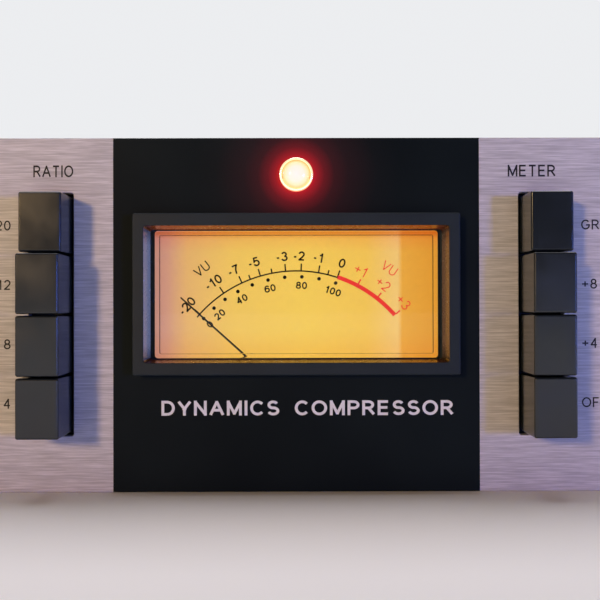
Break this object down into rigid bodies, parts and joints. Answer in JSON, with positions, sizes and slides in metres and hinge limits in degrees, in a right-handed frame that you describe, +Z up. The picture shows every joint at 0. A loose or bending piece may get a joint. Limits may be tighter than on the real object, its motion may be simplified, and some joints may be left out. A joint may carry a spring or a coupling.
{
  "type": "rack compressor",
  "caption": "Two-unit rack-mount audio compressor with large and small rotary controls, ratio and meter push-button banks, a pilot lamp and a lit needle meter.",
  "frame": {"origin": "on the surface that the unit stands on, under the middle of its bounding box", "axes": "+X to the right seen from the front, +Y towards the rear, +Z up; the front panel faces -Y"},
  "size_m": [0.4826, 0.2488, 0.0881],
  "materials": {
    "brushed_panel": "brushed along X, with a black field around the meter",
    "plain_aluminium": "satin",
    "black_sheet": "fine textured powder coat",
    "meter_frame": "satin",
    "clear_cover": "clear, polished",
    "meter_case": "matte",
    "dial": "matte, lit amber from behind",
    "circuit_board": "solder mask",
    "iron": "lacquered",
    "copper": "lacquered wire",
    "pointer": "matte",
    "chrome": "polished",
    "lamp_lens": "lit red",
    "switch_body": "matte",
    "button": "satin gloss",
    "knob": "satin gloss",
    "zinc": "plated",
    "latch": "dark plated",
    "inlet_plastic": "satin",
    "fuse_glass": "clear",
    "capacitor_sleeve": "satin sleeve",
    "winding_tape": "taped"
  },
  "bodies": {
    "chassis": {"front_panel": "brushed_panel", "meter_bezel": "meter_frame", "meter_cover": "clear_cover", "meter_case": "meter_case", "meter_dial": "dial", "meter_lamp_board": "circuit_board", "meter_magnet": "iron", "meter_core": "iron", "pilot_lamp_bezel": "chrome", "pilot_lamp_lens": "lamp_lens", "ratio_switch_bank": "switch_body", "meter_switch_bank": "switch_body", "bottom_cover": "black_sheet", "top_cover": "black_sheet", "rear_panel": "black_sheet", "left_side_plate": "plain_aluminium", "right_side_plate": "plain_aluminium", "xlr_input_socket": "zinc", "xlr_output_socket": "zinc", "power_inlet": "inlet_plastic", "pad_switch_body": "zinc", "main_board": "circuit_board", "filter_capacitor_front": "capacitor_sleeve", "filter_capacitor_rear": "capacitor_sleeve", "heat_sink": "plain_aluminium", "input_transformer": "iron", "output_transformer": "iron", "power_transformer": "winding_tape", "transformer_clamp": "zinc", "input_potentiometer": "zinc", "output_potentiometer": "zinc", "attack_potentiometer": "zinc", "release_potentiometer": "zinc"},
    "ratio_button_20": {"ratio_button_20": "button"},
    "ratio_button_12": {"ratio_button_12": "button"},
    "ratio_button_8": {"ratio_button_8": "button"},
    "ratio_button_4": {"ratio_button_4": "button"},
    "meter_button_gr": {"meter_button_gr": "button"},
    "meter_button_plus8": {"meter_button_plus8": "button"},
    "meter_button_plus4": {"meter_button_plus4": "button"},
    "meter_button_off": {"meter_button_off": "button"},
    "input_control": {"input_knob": "knob", "input_knob_cap": "brushed_panel", "input_shaft": "zinc"},
    "output_control": {"output_knob": "knob", "output_knob_cap": "brushed_panel", "output_shaft": "zinc"},
    "attack_control": {"attack_knob": "knob", "attack_knob_cap": "brushed_panel", "attack_shaft": "zinc"},
    "release_control": {"release_knob": "knob", "release_knob_cap": "brushed_panel", "release_shaft": "zinc"},
    "meter_movement": {"meter_coil": "copper", "meter_pointer": "pointer"},
    "input_latch": {"xlr_input_latch": "latch"},
    "fuse_holder": {"fuse_drawer": "inlet_plastic", "mains_fuse": "fuse_glass"},
    "pad_switch": {"pad_switch_slider": "inlet_plastic"}
  },
  "joints": [
    {"name": "ratio_button_20_press", "type": "slide", "parent": "chassis", "child": "ratio_button_20", "axis": [0, 1, 0], "range_m": [-0.0026, 0.0007]},
    {"name": "ratio_button_12_press", "type": "slide", "parent": "chassis", "child": "ratio_button_12", "axis": [0, 1, 0], "range_m": [0, 0.0035], "stiffness_N_per_m": 300, "springref_m": -0.003},
    {"name": "ratio_button_8_press", "type": "slide", "parent": "chassis", "child": "ratio_button_8", "axis": [0, 1, 0], "range_m": [0, 0.0035], "stiffness_N_per_m": 300, "springref_m": -0.003},
    {"name": "ratio_button_4_press", "type": "slide", "parent": "chassis", "child": "ratio_button_4", "axis": [0, 1, 0], "range_m": [0, 0.0035], "stiffness_N_per_m": 300, "springref_m": -0.003},
    {"name": "meter_button_gr_press", "type": "slide", "parent": "chassis", "child": "meter_button_gr", "axis": [0, 1, 0], "range_m": [-0.0026, 0.0007]},
    {"name": "meter_button_plus8_press", "type": "slide", "parent": "chassis", "child": "meter_button_plus8", "axis": [0, 1, 0], "range_m": [0, 0.0035], "stiffness_N_per_m": 300, "springref_m": -0.003},
    {"name": "meter_button_plus4_press", "type": "slide", "parent": "chassis", "child": "meter_button_plus4", "axis": [0, 1, 0], "range_m": [0, 0.0035], "stiffness_N_per_m": 300, "springref_m": -0.003},
    {"name": "meter_button_off_press", "type": "slide", "parent": "chassis", "child": "meter_button_off", "axis": [0, 1, 0], "range_m": [0, 0.0035], "stiffness_N_per_m": 300, "springref_m": -0.003},
    {"name": "input_turn", "type": "hinge", "parent": "chassis", "child": "input_control", "pos_m": [-0.164, -0.1124, 0.046], "axis": [0, 1, 0], "range_deg": [-150, 150]},
    {"name": "output_turn", "type": "hinge", "parent": "chassis", "child": "output_control", "pos_m": [-0.087, -0.1124, 0.046], "axis": [0, 1, 0], "range_deg": [-150, 150]},
    {"name": "attack_turn", "type": "hinge", "parent": "chassis", "child": "attack_control", "pos_m": [-0.019, -0.1094, 0.065], "axis": [0, 1, 0], "range_deg": [-150, 150]},
    {"name": "release_turn", "type": "hinge", "parent": "chassis", "child": "release_control", "pos_m": [-0.019, -0.1094, 0.024], "axis": [0, 1, 0], "range_deg": [-150, 150]},
    {"name": "meter_movement_swing", "type": "hinge", "parent": "chassis", "child": "meter_movement", "pos_m": [0.0965, -0.094, 0.0218], "axis": [0, 1, 0], "range_deg": [0, 96], "stiffness_Nm_per_rad": 0.0006, "springref_deg": -34.38},
    {"name": "input_latch_press", "type": "slide", "parent": "chassis", "child": "input_latch", "axis": [0, -1, 0], "range_m": [0, 0.002], "stiffness_N_per_m": 500, "springref_m": -0.001},
    {"name": "fuse_holder_slide", "type": "slide", "parent": "chassis", "child": "fuse_holder", "axis": [0, 1, 0], "range_m": [0, 0.018]},
    {"name": "pad_switch_slide", "type": "slide", "parent": "chassis", "child": "pad_switch", "axis": [0, 0, 1], "range_m": [0, 0.004]}
  ]
}
